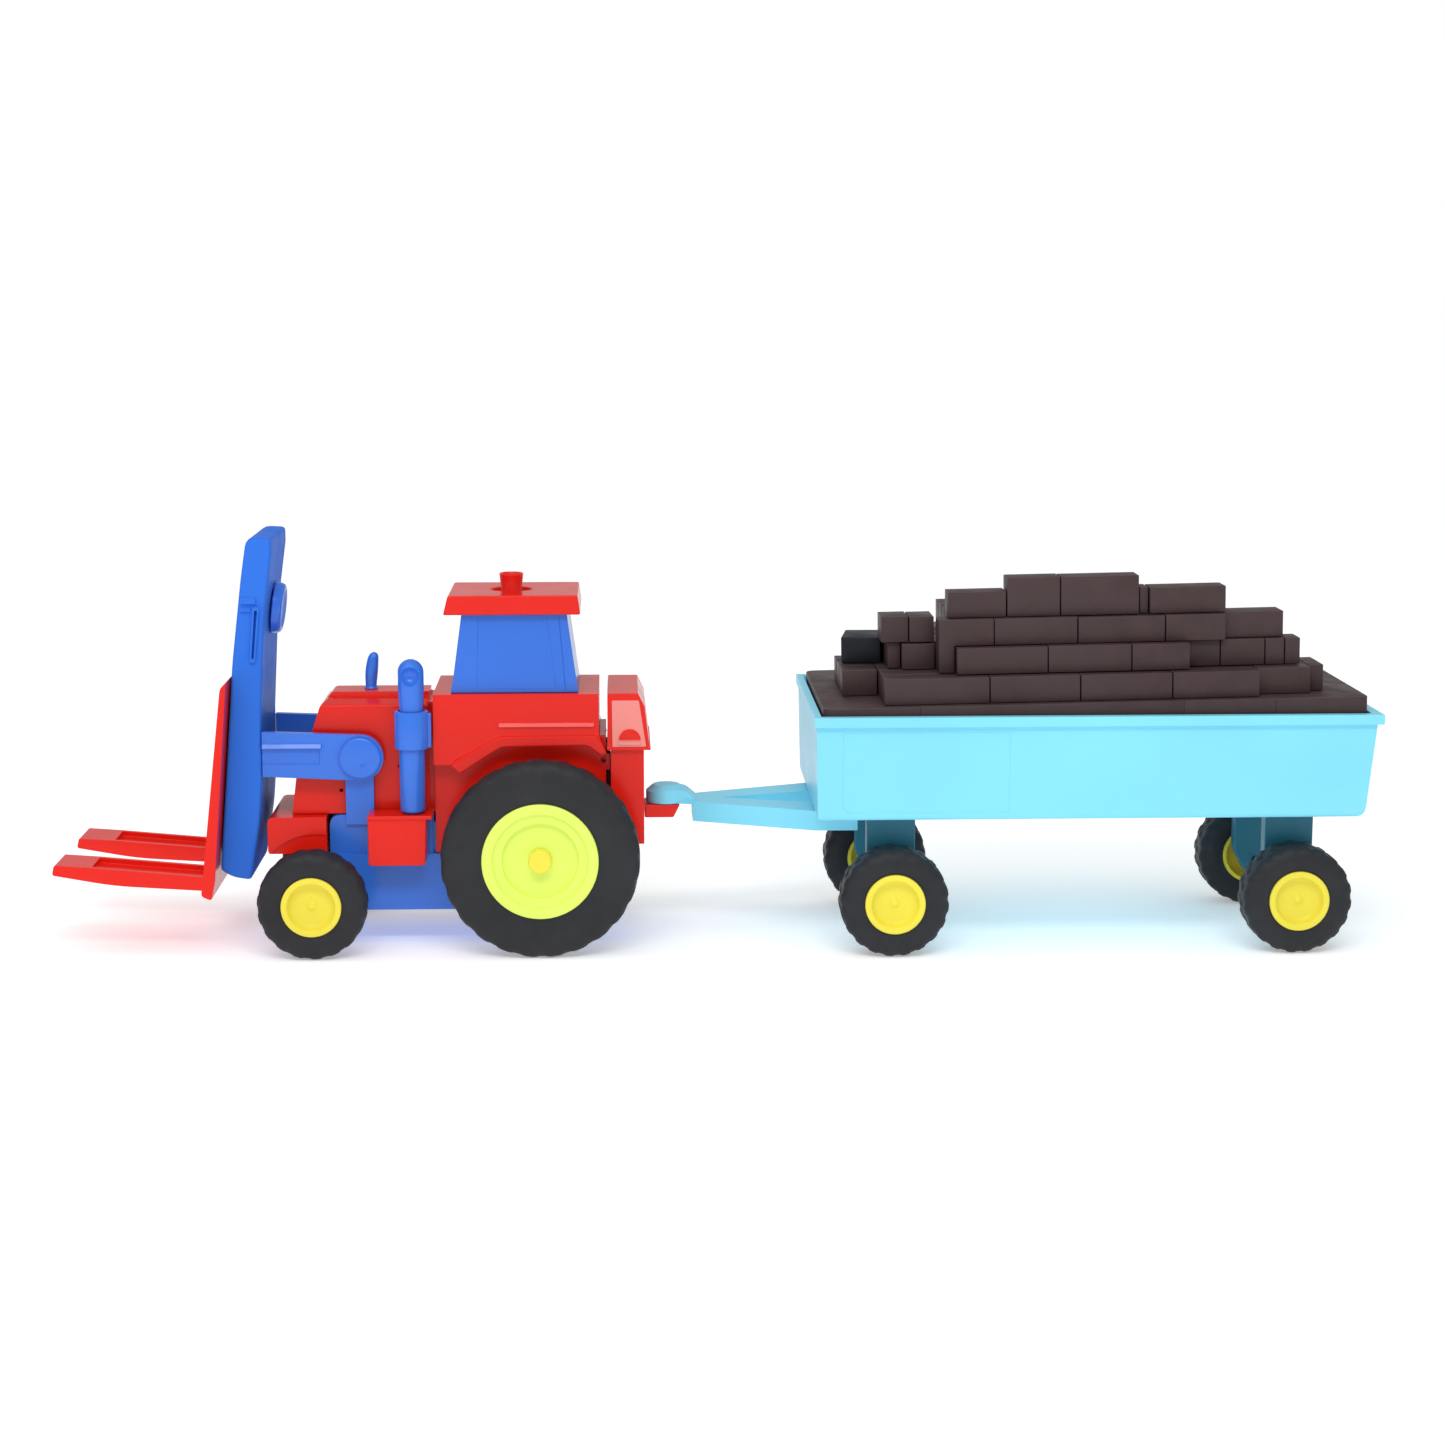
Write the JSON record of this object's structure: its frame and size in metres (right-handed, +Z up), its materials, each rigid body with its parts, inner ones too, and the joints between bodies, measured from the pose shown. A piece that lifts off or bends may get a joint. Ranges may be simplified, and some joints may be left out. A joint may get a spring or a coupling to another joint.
{
  "type": "toy tractor with fork loader and trailer",
  "caption": "Moulded toy tractor with a lifting fork loader, rolling wheels and a hitched flat-sided trailer carrying a stepped load of bricks.",
  "frame": {"origin": "on the surface that the wheels stand on, under the middle of the toy's overall box", "axes": "+Z up; -Y is the way the tractor drives, with the fork tips; +X is the toy's left side, with the air stack; +Y is the trailer's rear"},
  "size_m": [0.13, 0.591, 0.1868],
  "materials": {
    "red_plastic": "gloss moulded plastic",
    "blue_plastic": "gloss moulded plastic",
    "cyan_plastic": "semi-gloss moulded plastic",
    "yellow_plastic": "semi-gloss moulded plastic",
    "lime_plastic": "semi-gloss moulded plastic",
    "tyre_black": "matte black plastic",
    "brick_brown": "satin brown plastic",
    "steel": "bright drawn wire"
  },
  "bodies": {
    "tractor": {"chassis": "blue_plastic", "body_shell": "red_plastic", "hood": "red_plastic", "front_weight": "red_plastic", "step_box_left": "red_plastic", "step_box_right": "red_plastic", "cab": "blue_plastic", "roof": "red_plastic", "beacon": "red_plastic", "hood_pipe": "blue_plastic", "air_stack": "blue_plastic", "air_stack_collar": "blue_plastic", "tail_box": "red_plastic", "tow_plate": "red_plastic", "hitch_pin": "red_plastic"},
    "front_wheelset": {"front_axle": "steel", "front_hub_left": "yellow_plastic", "front_hub_right": "yellow_plastic", "front_tyre_left": "tyre_black", "front_tyre_right": "tyre_black"},
    "rear_wheelset": {"rear_axle": "steel", "rear_hub_left": "lime_plastic", "rear_hub_right": "lime_plastic", "rear_tyre_left": "tyre_black", "rear_tyre_right": "tyre_black", "rear_cap_left": "yellow_plastic", "rear_cap_right": "yellow_plastic"},
    "loader": {"loader_arm_left": "blue_plastic", "loader_arm_right": "blue_plastic", "pivot_pin_left": "blue_plastic", "pivot_pin_right": "blue_plastic", "mast": "blue_plastic", "mast_grip": "blue_plastic"},
    "fork": {"fork_carriage": "red_plastic"},
    "trailer": {"trailer_tub": "cyan_plastic", "drawbar": "cyan_plastic", "trailer_bracket_front": "cyan_plastic", "trailer_bracket_rear": "cyan_plastic"},
    "trailer_front_wheelset": {"trailer_front_axle": "steel", "trailer_front_hub_left": "yellow_plastic", "trailer_front_hub_right": "yellow_plastic", "trailer_front_tyre_left": "tyre_black", "trailer_front_tyre_right": "tyre_black"},
    "trailer_rear_wheelset": {"trailer_rear_axle": "steel", "trailer_rear_hub_left": "yellow_plastic", "trailer_rear_hub_right": "yellow_plastic", "trailer_rear_tyre_left": "tyre_black", "trailer_rear_tyre_right": "tyre_black"},
    "load": {"load_base": "brick_brown", "load_tier_1": "brick_brown", "load_tier_2": "brick_brown", "load_tier_3": "brick_brown", "load_tier_4_front": "brick_brown", "load_tier_4_rear": "brick_brown", "load_crown": "brick_brown"}
  },
  "joints": [
    {"name": "front_wheels_roll", "type": "hinge", "parent": "tractor", "child": "front_wheelset", "pos_m": [0, -0.17945, 0.0245], "axis": [1, 0, 0], "continuous": true},
    {"name": "rear_wheels_roll", "type": "hinge", "parent": "tractor", "child": "rear_wheelset", "pos_m": [0, -0.07765, 0.0445], "axis": [1, 0, 0], "continuous": true},
    {"name": "loader_lift", "type": "hinge", "parent": "tractor", "child": "loader", "pos_m": [0, -0.15865, 0.0873], "axis": [-1, 0, 0], "range_deg": [-4, 45]},
    {"name": "fork_slide", "type": "slide", "parent": "loader", "child": "fork", "axis": [0, 0.0832, 0.9965], "range_m": [-0.01, 0.055]},
    {"name": "trailer_yaw", "type": "hinge", "parent": "tractor", "child": "trailer", "pos_m": [0, -0.02065, 0.065], "axis": [0, 0, 1], "range_deg": [-45, 45]},
    {"name": "trailer_front_roll", "type": "hinge", "parent": "trailer", "child": "trailer_front_wheelset", "pos_m": [0, 0.08055, 0.0245], "axis": [1, 0, 0], "continuous": true},
    {"name": "trailer_rear_roll", "type": "hinge", "parent": "trailer", "child": "trailer_rear_wheelset", "pos_m": [0, 0.26235, 0.0245], "axis": [1, 0, 0], "continuous": true},
    {"name": "load_lift_out", "type": "slide", "parent": "trailer", "child": "load", "axis": [0, 0, 1], "range_m": [0, 0.07]}
  ]
}
